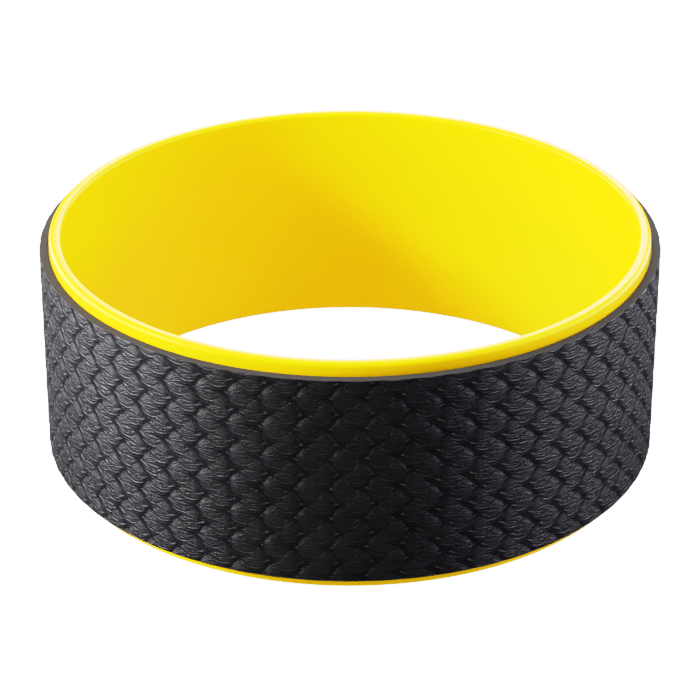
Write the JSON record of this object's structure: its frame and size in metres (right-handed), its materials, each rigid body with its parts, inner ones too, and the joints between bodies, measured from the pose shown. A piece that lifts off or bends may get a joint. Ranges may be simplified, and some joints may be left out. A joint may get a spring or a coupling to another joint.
{
  "type": "yoga wheel",
  "caption": "Rigid plastic hoop with rounded rims and a textured foam tread glued round its outside, for back stretches and balance exercises.",
  "frame": {"origin": "centre of the rim face that the wheel lies on", "axes": "+Z along the wheel's axis, up from the rim it lies on; the tread's butt seam is at -X"},
  "size_m": [0.33, 0.33, 0.127],
  "materials": {
    "hoop_plastic": "gloss",
    "adhesive": "matte",
    "tread_foam": "matte"
  },
  "bodies": {
    "root": {"hoop": "hoop_plastic", "adhesive_film": "adhesive", "tread": "tread_foam"}
  },
  "joints": []
}
